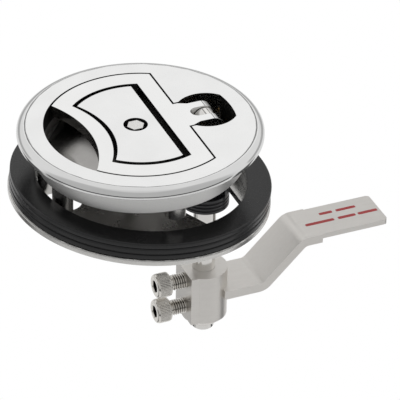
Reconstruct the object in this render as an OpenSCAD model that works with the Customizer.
// Flush round hatch latch: a fold-flat D handle in a round flange, a spindle that
// runs down through the hatch, a counter ring below it, and a cam arm clamped to
// the spindle. Origin: centre of the flange's underside. +X points to the arm.

/* [Flange] */
// Outer radius of the flange
flange_r = 62.5; // [60:0.5:68]
// Height of the flange above the hatch surface
flange_t = 5; // [4.5:0.1:5.5]
// Width of the rounded rim
rim_w = 5.5; // [3:0.5:7]
// Radius of the neck that goes through the hatch
neck_r = 53.5; // [52.5:0.1:56]
// Depth of the neck below the flange
neck_h = 14; // [13.5:0.5:22]
// Wall of the cast flange
cast_wall = 2.8; // [2:0.1:3.2]
// Thickness of the seal under the flange
seal_t = 1; // [0.5:0.1:2]
// Width of the seal under the flange
seal_w = 6; // [3:0.5:7]

/* [Handle] */
// Radius of the round handle
handle_r = 48; // [44:0.5:49]
// Thickness of the handle's band
handle_t = 6; // [5:0.5:7]
// Distance from the centre to the handle's straight edge
handle_edge_x = 21.9; // [20:0.1:24]
// Width of the straight bar beside that edge
handle_bar_w = 9.3; // [7:0.1:11]
// Width of the round band
handle_band_w = 9.7; // [8:0.1:11]
// Crest of the finger side, left of the centre
finger_crest_x = 26.8; // [24:0.1:30]
// Width of the band at the finger side
finger_band_w = 8.2; // [6:0.1:9]
// Gap between the handle and its pocket
handle_gap = 1; // [0.4:0.1:1.5]
// Gap between the handle and the centre island
island_gap = 2.4; // [1.5:0.1:3.5]
// Half width of the handle's tongue
tongue_hw = 11; // [9:0.5:12]
// Half width of the handle's fork
fork_hw = 9; // [8:0.5:10]
// Diameter of the hinge pin
pin_d = 5; // [4:0.5:6]
// Depth of the hinge pin below the flange's top
pin_drop = 7; // [6:0.5:8]

/* [Spindle] */
// Distance from the centre to the spindle
spindle_x = 36; // [34:0.5:37]
// Diameter of the spindle
spindle_d = 12; // [11:0.5:13]
// Lowest point of the spindle, below the seat plane
spindle_end = 129.5; // [125:0.5:160]
// Thickness of the flat tab in the fork
tab_t = 7; // [5:0.5:8]
// Stroke of the spindle for a quarter turn of the handle
cam_stroke = 3; // [1:0.5:4]
// Clearance of running fits
fit = 0.05; // [0.02:0.01:0.1]

/* [Guide barrel] */
// Outer radius of the guide barrel
guide_r = 10.5; // [9.5:0.1:11.5]
// Lowest point of the guide barrel, below the seat plane
guide_end = 51; // [49:0.5:70]
// Length of the guide's bearing
bearing_h = 14; // [12:0.5:16]
// Diameter of the spring wire
wire_d = 1.3; // [0.8:0.1:1.4]
// Number of turns of the spring
spring_turns = 6; // [4:1:8]
// Radius of the guide's lock nut
nut_r = 12.6; // [12:0.1:14]
// Height of the guide's lock nut
nut_h = 8; // [5:0.5:10]

/* [Counter ring] */
// Distance from the seat plane down to the black rings
hatch_gap = 24.8; // [24:0.1:32]
// Slant at which the loose counter ring hangs until it is clamped, in degrees
ring_slant = 5; // [0:0.5:5]
// Outer radius of the black rings
ring_r = 66.8; // [64:0.1:70]
// Radius of the opening in the black rings
aperture_r = 54.3; // [54.2:0.1:57]
// Thickness of the upper black ring
upper_ring_t = 3; // [2:0.1:5]
// Thickness of the lower black ring
lower_ring_t = 6.2; // [4:0.1:8]
// Radius of the steel counter plate
plate_r = 67.3; // [64:0.1:70]
// Thickness of the steel counter plate
plate_t = 3.2; // [2:0.1:4]

/* [Cam arm] */
// Outer radius of the clamp hub
hub_r = 12.6; // [11.5:0.1:14]
// Top of the clamp hub, below the seat plane
hub_top = 91.3; // [75:0.1:96]
// Height of the clamp hub without its taper
hub_h = 28.7; // [27:0.1:31]
// Height of the taper below the hub
taper_h = 5.5; // [3:0.1:6.5]
// Distance from the spindle to the end of the arm
arm_reach = 100.7; // [90:0.1:130]
// Width of the arm
arm_w = 26; // [22:0.5:30]
// Thickness of the arm
arm_t = 5; // [4:0.1:6]
// Height by which the arm's end lies above its root
arm_rise = 22.6; // [15:0.1:27]
// Thickness of the arm's end
tip_t = 3; // [2:0.1:4]
// Length of the arm's thinner end
tip_l = 38.2; // [30:0.1:45]

/* [Screws] */
// Diameter of the clamp screws
screw_d = 8; // [6:1:8]
// Distance between the clamp screws
screw_pitch = 16.1; // [14.5:0.1:17]
// Diameter of the central clamp bolt
bolt_d = 5; // [4:0.5:6]
// Distance from the centre to the clamp bolt, away from the spindle
bolt_x = 2.7; // [0:0.1:4]
// Diameter of the recess around the bolt's head
bolt_recess_d = 12.4; // [11.5:0.1:14]

/* [Hidden] */
$fn = 96;

// Handle and its pocket
pocket_r = handle_r + handle_gap;
pocket_x = handle_edge_x + handle_gap;
pocket_z = flange_t - handle_t - 2;
handle_z = flange_t - handle_t;
draft_z = flange_t - 1.3;
draft = 1.5;
relief_gap = 0.3;
finger_c = 88;
finger_r = finger_c - finger_crest_x;
cut_c = 73.3;
cut_crest_x = finger_crest_x - finger_band_w;
cut_r = cut_c - cut_crest_x;
cut_out_r = handle_r - handle_band_w;
cut_edge_x = handle_edge_x - handle_bar_w;
island_r = cut_out_r - island_gap;
island_edge_x = cut_edge_x - island_gap - 1.6;
island_c = 67.5;
island_arc_r = island_c - cut_crest_x + island_gap;
slot_hw = tab_t / 2 + 0.4;
scoop_r = 19;
scoop_x = handle_r - 10;
scoop_z = 8;

// Hinge and spindle
pin_z = flange_t - pin_drop;
cam_low = pin_drop + cam_stroke;
cam_gap = 0.4;
lift_past = 15;
knuckle_min = pin_drop - cam_stroke * lift_past / 90;
tab_r = knuckle_min - 0.3;
slot_root = max(pin_drop, spindle_d / 2 + 0.6);
slot_end = slot_root + 1.6;
spindle_r = spindle_d / 2;
washer_t = 1.2;
washer_r = 11;
washer_top = pin_z - cam_low - cam_gap;
well_r = cam_low + 6;
well_z = washer_top - washer_t;
shoulder_z = pin_z - cam_low - 0.5;
tub_r = well_r + cast_wall;

// Guide barrel
web_t = 2.5;
web_z = well_z - web_t;
collar_r = guide_r + cast_wall;
collar_h = 4;
chamber_r = spindle_r + wire_d + 0.7;
bearing_z = bearing_h - guide_end;
ring_t = 1.2;
ring_top = bearing_z + 6;
ring_groove_r = spindle_r - 0.6;
o_wire_r = 0.7;
o_groove_r = spindle_r - 2 * o_wire_r;
o_upper_z = bearing_z - 3.5;
o_lower_z = o_upper_z - 3.5;
bush_r = spindle_r + 2;

// Counter ring, top down
ring_z = -hatch_gap;
ring_mid_z = ring_z - upper_ring_t;
plate_top = ring_mid_z - lower_ring_t;
plate_z = plate_top - plate_t;
window_r = aperture_r - 2.5;
window_x0 = 14;
window_x1 = 46;
window_angle = 62.5;
left_window_x = 43;
left_window_r = 10.8;
plate_hole_r = bolt_d / 2 + 0.75;

// The loose ring rocks on the bolt, half way between its top and the plate
hang_z = (ring_z + plate_z + plate_t / 2) / 2;

// Posts below the neck: short ones at the sides, long ones that the slanted plate meets
post_pcr = neck_r - 6.2;
post_r = 5.3;
short_post_end = -neck_h - 6.2;
long_post_end = hang_z + (plate_top - hang_z) / cos(ring_slant)
    + (post_pcr + post_r - bolt_x) * tan(ring_slant) + 0.3;
posts = [[90.5, short_post_end], [-90.5, short_post_end], [167, long_post_end], [-167, long_post_end]];

// Clamp bolt
head_h = 3.5;
seal_washer_t = 1;
bolt_seat = flange_t - head_h - 0.2;
recess_z = bolt_seat - seal_washer_t;
bolt_hex = bolt_d * 1.6;
bolt_nut_h = bolt_d * 0.8;
nut_top = plate_z - bolt_hex / 2 / cos(30) * tan(ring_slant) - 0.1;
bolt_end = nut_top - bolt_nut_h - 1.5;

// Cam arm
hub_z = -hub_top - hub_h;
hub_foot_z = hub_z - taper_h;
boss_x = spindle_x - hub_r + 1.4;
boss_hw = hub_r - 2;
screw_r = screw_d / 2;
screw_z = -hub_top - (hub_h - screw_pitch) / 2 - 0.2;
screw_head_r = screw_d * 1.625 / 2;
screw_tip_x = spindle_x - spindle_r - 0.3;
screw_stand = 8.5;
screw_head_x = boss_x - screw_stand - screw_d;
thread_pitch = screw_d * 0.156;
thread_depth = 0.6;
arm_top = -hub_top - 10.5;
bend_x1 = spindle_x + 28.4;
bend_x2 = bend_x1 + arm_rise;
bend_r = 4;
arm_end_x = spindle_x + arm_reach;
tip_x = arm_end_x - tip_l;
tip_hw = arm_w / 2 - 0.8;
tip_corner = 2;

function arc(c, r, a0, a1, n) = [for (i = [0:n]) let (a = a0 + (a1 - a0) * i / n) c + r * [cos(a), sin(a)]];

// Rounded disc rim: flat top, quarter-ellipse edge and the neck below it
function flange_outline() = concat(
    [[0, flange_t], [flange_r - rim_w, flange_t]],
    [for (a = [7.5:7.5:90]) [flange_r - rim_w + rim_w * sin(a), 1 + (flange_t - 1) * cos(a)]],
    [[flange_r, 0.3], [flange_r - 0.3, 0], [neck_r, 0], [neck_r, 0.5 - neck_h],
     [neck_r - 0.5, -neck_h], [0, -neck_h]]);

// Cam outline about the hinge: radius falls from the foot to the nose by the stroke
function knuckle_outline() = concat(
    [[-slot_root - 4, pin_drop]],
    [for (a = [90:-7.5:7.5]) let (r = knuckle_min + (pin_drop - knuckle_min) * (a - 7.5) / 82.5) r * [cos(a), sin(a)]],
    [for (a = [0:-7.5:-90]) let (r = pin_drop - cam_stroke * a / 90) r * [cos(a), sin(a)]],
    [for (a = [-97.5:-7.5:-120]) cam_low * [cos(a), sin(a)]],
    [[-slot_root - 4, pin_drop - handle_t]]);

module at_spindle() {
    translate([spindle_x, 0, 0]) children();
}

// Cylinders of radius r at the posts, from each post's end up to z1
module post_cylinders(r, z1) {
    for (p = posts) rotate(p[0]) translate([post_pcr, 0, p[1]]) cylinder(r = r, h = z1 - p[1]);
}

// The counter ring's slant about the bolt
module slanted() {
    translate([-bolt_x, 0, hang_z]) rotate([0, ring_slant, 0]) translate([bolt_x, 0, -hang_z]) children();
}

// Disc cut by a straight edge on the spindle side
module d_shape(r, x) {
    intersection() {
        circle(r);
        translate([x - 2 * r, -r]) square([2 * r, 2 * r]);
    }
}

module island_shape() {
    difference() {
        d_shape(island_r, island_edge_x);
        translate([-island_c, 0]) circle(island_arc_r);
    }
}

module scoop(grow, z0) {
    intersection() {
        translate([0, 0, z0]) cylinder(r = pocket_r + grow, h = flange_t - z0 + 1);
        translate([-scoop_x, 0, scoop_z]) rotate([90, 0, 0])
            cylinder(r = scoop_r + grow, h = 2 * flange_r, center = true);
    }
}

module flange_body() {
    color("gainsboro") difference() {
        union() {
            difference() {
                rotate_extrude() polygon(flange_outline());
                translate([0, 0, pocket_z]) linear_extrude(flange_t - pocket_z + 1)
                    difference() {
                        d_shape(pocket_r, pocket_x);
                        island_shape();
                    }
                translate([pocket_x - 1, -tongue_hw - 1, pocket_z])
                    cube([spindle_x - pocket_x, 2 * tongue_hw + 2, flange_t - pocket_z + 1]);
                difference() {
                    scoop(0, -neck_h);
                    translate([0, 0, -neck_h]) linear_extrude(2 * neck_h) island_shape();
                }
                difference() {
                    translate([0, 0, -neck_h - 1])
                        cylinder(r = neck_r - cast_wall, h = neck_h + 1 + pocket_z - cast_wall);
                    scoop(cast_wall, -neck_h - 2);
                    at_spindle() translate([0, 0, -neck_h - 2]) cylinder(r = tub_r, h = neck_h);
                    translate([-bolt_x, 0, -neck_h - 2]) cylinder(r = bolt_d * 2, h = neck_h);
                    post_cylinders(post_r, 0);
                }
            }
            post_cylinders(post_r, 1 - neck_h);
            at_spindle() translate([0, 0, web_z - collar_h])
                cylinder(r = collar_r, h = collar_h + well_z - web_z);
        }
        intersection() {
            at_spindle() translate([0, 0, well_z]) cylinder(r = well_r, h = flange_t - well_z + 1);
            translate([0, 0, well_z]) cylinder(r = pocket_r, h = flange_t - well_z + 1);
        }
        at_spindle() translate([0, 0, web_z - 1]) cylinder(r = bush_r, h = web_t + 2);
        at_spindle() translate([0, 0, web_z - collar_h - 1]) cylinder(r = guide_r + fit, h = collar_h + 1);
        translate([-bolt_x, 0, recess_z]) cylinder(d = bolt_recess_d, h = flange_t);
        translate([-bolt_x, 0, -neck_h - 1]) cylinder(r = bolt_d / 2 + 0.25, h = neck_h + flange_t);
    }
}

module flange_seal() {
    color("black") translate([0, 0, -seal_t]) difference() {
        cylinder(r = neck_r + 0.3 + seal_w, h = seal_t);
        translate([0, 0, -1]) cylinder(r = neck_r + 0.3, h = seal_t + 2);
    }
}

module handle_plan() {
    difference() {
        union() {
            difference() {
                d_shape(handle_r, handle_edge_x);
                translate([-finger_c, 0]) circle(finger_r);
            }
            polygon([[handle_edge_x - 1, -tongue_hw], [handle_edge_x + 2.5, -tongue_hw],
                     [spindle_x - slot_root, -fork_hw], [spindle_x - slot_root, fork_hw],
                     [handle_edge_x + 2.5, tongue_hw], [handle_edge_x - 1, tongue_hw]]);
        }
        difference() {
            d_shape(cut_out_r, cut_edge_x);
            translate([-cut_c, 0]) circle(cut_r);
        }
    }
}

// Way of the pocket's top edge past the swinging handle, seen from the handle
function edge_path() = [for (a = [0:3:36])
    let (x = pocket_x - spindle_x, z = pin_drop + cam_stroke * a / 90)
    [spindle_x + x * cos(a) - z * sin(a) - relief_gap, pin_z + x * sin(a) + z * cos(a)]];

// Curved relief that lets the straight edge swing up past the flange
module edge_relief() {
    low_z = pin_z - pin_drop;
    for (s = [-1, 1]) translate([0, s * (tongue_hw + handle_r) / 2 + s * 0.3, 0]) rotate([90, 0, 0])
        linear_extrude(handle_r - tongue_hw + 0.6, center = true)
            polygon(concat(edge_path(), [[handle_edge_x - 2 * draft, low_z], [pocket_x + 2, low_z],
                                         [pocket_x + 2, flange_t]]));
}

module handle() {
    color("silver") difference() {
        union() {
            intersection() {
                translate([0, 0, handle_z]) linear_extrude(handle_t) handle_plan();
                union() {
                    translate([0, 0, draft_z]) cylinder(r = handle_r, h = flange_t - draft_z);
                    translate([0, 0, handle_z])
                        cylinder(r1 = handle_r - draft, r2 = handle_r, h = draft_z - handle_z);
                }
            }
            translate([spindle_x, 0, pin_z]) rotate([90, 0, 0])
                linear_extrude(2 * fork_hw, center = true) polygon(knuckle_outline());
        }
        edge_relief();
        translate([spindle_x - slot_end + slot_hw, 0, pin_z - cam_low - 1]) {
            cylinder(r = slot_hw, h = cam_low + pin_drop + 2);
            translate([0, -slot_hw, 0])
                cube([slot_root + slot_end + 2 * cam_stroke, 2 * slot_hw, cam_low + pin_drop + 2]);
        }
        translate([spindle_x, 0, pin_z]) rotate([90, 0, 0])
            cylinder(d = pin_d, h = 3 * fork_hw, center = true);
    }
}

module handle_pin() {
    color("silver") translate([spindle_x, 0, pin_z]) rotate([90, 0, 0])
        cylinder(d = pin_d, h = 2 * fork_hw - 0.2, center = true);
}

module spindle() {
    head_h_low = pin_z - shoulder_z;
    color("silver") at_spindle() difference() {
        union() {
            translate([0, 0, -spindle_end + 1])
                cylinder(r = spindle_r, h = shoulder_z + spindle_end - 1);
            translate([0, 0, -spindle_end]) cylinder(r1 = spindle_r - 1, r2 = spindle_r, h = 1);
            intersection() {
                translate([0, 0, shoulder_z - 1]) cylinder(r = spindle_r, h = head_h_low + 1);
                translate([-spindle_r, -tab_t / 2, shoulder_z - 1])
                    cube([spindle_d, tab_t, head_h_low + 1]);
            }
            translate([0, 0, pin_z]) rotate([90, 0, 0]) cylinder(r = tab_r, h = tab_t, center = true);
        }
        translate([0, 0, pin_z]) rotate([90, 0, 0])
            cylinder(r = pin_d / 2 + fit, h = 2 * tab_t, center = true);
        groove(ring_groove_r, ring_top - ring_t, ring_t + 0.1);
        for (z = [o_upper_z, o_lower_z]) groove(o_groove_r, z - o_wire_r - 0.1, 2 * o_wire_r + 0.2);
    }
}

// Square groove turned into the spindle
module groove(r, z, h) {
    translate([0, 0, z]) difference() {
        cylinder(r = spindle_r + 1, h = h);
        translate([0, 0, -1]) cylinder(r = r, h = h + 2);
    }
}

module sleeve(r_out, r_in, z, h) {
    translate([0, 0, z]) difference() {
        cylinder(r = r_out, h = h);
        translate([0, 0, -1]) cylinder(r = r_in, h = h + 2);
    }
}

module thrust_washer() {
    color("gold") at_spindle() sleeve(washer_r, spindle_r + 0.1, well_z, washer_t);
}

module upper_bush() {
    color("gold") at_spindle() sleeve(bush_r, spindle_r + fit, web_z, web_t);
}

module spindle_guide() {
    color("dimgray") at_spindle() difference() {
        translate([0, 0, -guide_end]) cylinder(r = guide_r, h = guide_end + web_z);
        translate([0, 0, bearing_z]) cylinder(r = chamber_r, h = guide_end);
        translate([0, 0, -guide_end - 1]) cylinder(r = spindle_r + fit, h = guide_end);
    }
}

module guide_nut() {
    ribs = 3;
    color("dimgray") at_spindle() difference() {
        translate([0, 0, -guide_end]) cylinder(r = nut_r, h = nut_h);
        translate([0, 0, -guide_end - 1]) cylinder(r = guide_r + 0.02, h = nut_h + 2);
        for (i = [1:ribs]) translate([0, 0, -guide_end + i * nut_h / (ribs + 1)])
            rotate_extrude() translate([nut_r, 0]) circle(0.6, $fn = 16);
    }
}

// Coil of round wire between the web above and the collar on the spindle
module release_spring() {
    sides = 8;
    per_turn = 14;
    rings = spring_turns * per_turn;
    coil_r = (spindle_r + chamber_r) / 2;
    z_low = ring_top + wire_d / 2 + 0.05;
    z_high = web_z - wire_d / 2 - 0.05;
    points = [for (i = [0:rings]) let (a = 360 * i / per_turn, z = z_low + (z_high - z_low) * i / rings)
        for (j = [0:sides - 1]) let (b = 360 * j / sides, r = coil_r + wire_d / 2 * cos(b))
            [r * cos(a), r * sin(a), z + wire_d / 2 * sin(b)]];
    walls = [for (i = [0:rings - 1]) for (j = [0:sides - 1]) let (k = (j + 1) % sides)
        [i * sides + j, i * sides + k, (i + 1) * sides + k, (i + 1) * sides + j]];
    first = [for (j = [sides - 1:-1:0]) j];
    last = [for (j = [0:sides - 1]) rings * sides + j];
    color("silver") at_spindle() polyhedron(points, concat(walls, [first, last]));
}

module spring_collar() {
    color("silver") at_spindle() sleeve(chamber_r - 0.3, ring_groove_r + 0.03, ring_top - ring_t, ring_t);
}

module o_ring(z) {
    at_spindle() translate([0, 0, z]) rotate_extrude() translate([o_groove_r + o_wire_r, 0])
        circle(o_wire_r, $fn = 24);
}

module upper_o_ring() {
    color("black") o_ring(o_upper_z);
}

module lower_o_ring() {
    color("black") o_ring(o_lower_z);
}

module clamp_bolt() {
    color("silver") translate([-bolt_x, 0, 0]) {
        translate([0, 0, bolt_seat]) cylinder(d = bolt_hex / cos(30), h = head_h, $fn = 6);
        translate([0, 0, bolt_end]) cylinder(d = bolt_d, h = bolt_seat - bolt_end + 1);
    }
}

module sealing_washer() {
    color("black") translate([-bolt_x, 0, 0])
        sleeve(bolt_recess_d / 2 - 1, bolt_d / 2 + 0.1, recess_z, seal_washer_t);
}

module clamp_nut() {
    color("silver") translate([-bolt_x, 0, nut_top - bolt_nut_h]) difference() {
        cylinder(d = bolt_hex / cos(30), h = bolt_nut_h, $fn = 6);
        translate([0, 0, -1]) cylinder(d = bolt_d + 0.04, h = bolt_nut_h + 2);
    }
}

// Flat ring with both outer edges broken by a small bevel
module bevelled_ring(r_out, r_in, z, t, bevel) {
    translate([0, 0, z]) rotate_extrude()
        polygon([[r_in, 0], [r_out - bevel, 0], [r_out, bevel], [r_out, t - bevel],
                 [r_out - bevel, t], [r_in, t]]);
}

module upper_ring() {
    color("black") slanted() bevelled_ring(ring_r, aperture_r, ring_mid_z, upper_ring_t, 0.5);
}

module lower_ring() {
    color("black") slanted() difference() {
        bevelled_ring(ring_r, aperture_r, plate_top, lower_ring_t, 0.5);
        translate([0, 0, plate_top + lower_ring_t / 2 - 0.4]) sleeve(ring_r + 1, ring_r - 0.7, 0, 0.8);
    }
}

module counter_plate() {
    reach = 2 * window_r;
    color("silver") slanted() difference() {
        bevelled_ring(plate_r, 0, plate_z, plate_t, 0.4);
        translate([0, 0, plate_z - 1]) linear_extrude(plate_t + 2) {
            intersection() {
                circle(window_r);
                polygon([[0, 0], reach * [cos(window_angle), -sin(window_angle)], [reach, 0],
                         reach * [cos(window_angle), sin(window_angle)]]);
                translate([window_x0, -window_r]) square([window_x1 - window_x0, 2 * window_r]);
            }
            translate([spindle_x, 0]) circle(nut_r + 0.8);
            intersection() {
                circle(window_r);
                translate([-left_window_x, 0]) circle(left_window_r);
            }
        }
        translate([-bolt_x, 0, plate_z - 1]) cylinder(r = plate_hole_r, h = plate_t + 2);
    }
}

// Side view of the arm: two 45 degree bends, thin end
function arm_outline() = let (
    k = tan(22.5),
    c1 = [bend_x1 - k * bend_r, arm_top + bend_r],
    c2 = [bend_x2 + k * (bend_r + arm_t), arm_top + arm_rise - bend_r - arm_t],
    root = spindle_x + spindle_r + 1)
    concat([[root, arm_top]], arc(c1, bend_r, -90, -45, 6), arc(c2, bend_r + arm_t, 135, 90, 6),
           [[tip_x, arm_top + arm_rise], [tip_x, arm_top + arm_rise - arm_t]],
           arc(c2, bend_r, 90, 135, 6), arc(c1, bend_r + arm_t, -45, -90, 6),
           [[root, arm_top - arm_t]]);

module arm_tip() {
    end = arc([arm_end_x - tip_corner, tip_hw - tip_corner], tip_corner, 90, 0, 5);
    low = [for (i = [len(end) - 1:-1:0]) [end[i][0], -end[i][1]]];
    translate([0, 0, arm_top + arm_rise - tip_t]) linear_extrude(tip_t)
        polygon(concat([[tip_x - 1, tip_hw]], end, low, [[tip_x - 1, -tip_hw]]));
}

module cam_arm() {
    color("silver") difference() {
        union() {
            at_spindle() translate([0, 0, hub_z]) cylinder(r = hub_r, h = hub_h);
            at_spindle() translate([0, 0, hub_foot_z]) cylinder(r1 = spindle_r + 1, r2 = hub_r, h = taper_h);
            translate([boss_x, -boss_hw, hub_z]) cube([spindle_x - boss_x, 2 * boss_hw, hub_h]);
            rotate([90, 0, 0]) linear_extrude(arm_w, center = true) polygon(arm_outline());
            arm_tip();
        }
        at_spindle() translate([0, 0, hub_foot_z - 1]) cylinder(r = spindle_r + fit, h = hub_h + taper_h + 2);
        translate([boss_x - hub_r, -hub_r, hub_z - taper_h - 1]) cube([hub_r, 2 * hub_r, hub_h + taper_h + 2]);
        for (i = [0, 1]) translate([boss_x - 1, 0, screw_z - i * screw_pitch]) rotate([0, 90, 0])
            cylinder(r = screw_r + 0.08, h = spindle_x - boss_x);
    }
}

// Socket cap screw along X: knurled head, hexagon socket and a ridged shank
module cap_screw(z) {
    shank = screw_tip_x - screw_head_x - screw_d;
    turns = floor((shank - 1) / thread_pitch);
    ridges = [for (i = [0:turns - 1]) for (k = [0, 1])
        [screw_r - thread_depth * (1 - k), screw_d + 0.5 + (i + k / 2) * thread_pitch]];
    color("silver") translate([screw_head_x, 0, z]) rotate([0, 90, 0]) difference() {
        rotate_extrude() polygon(concat(
            [[0, 0], [screw_head_r - 0.8, 0], [screw_head_r, 0.8], [screw_head_r, screw_d],
             [screw_r - thread_depth, screw_d]],
            ridges,
            [[screw_r - thread_depth, screw_d + shank], [0, screw_d + shank]]));
        translate([0, 0, -1]) cylinder(d = screw_d * 0.75 / cos(30), h = screw_d / 2 + 1, $fn = 6);
    }
}

module upper_clamp_screw() {
    cap_screw(screw_z);
}

module lower_clamp_screw() {
    cap_screw(screw_z - screw_pitch);
}

flange_body();
flange_seal();
handle();
handle_pin();
spindle();
thrust_washer();
upper_bush();
spindle_guide();
guide_nut();
release_spring();
spring_collar();
upper_o_ring();
lower_o_ring();
clamp_bolt();
sealing_washer();
clamp_nut();
upper_ring();
lower_ring();
counter_plate();
cam_arm();
upper_clamp_screw();
lower_clamp_screw();
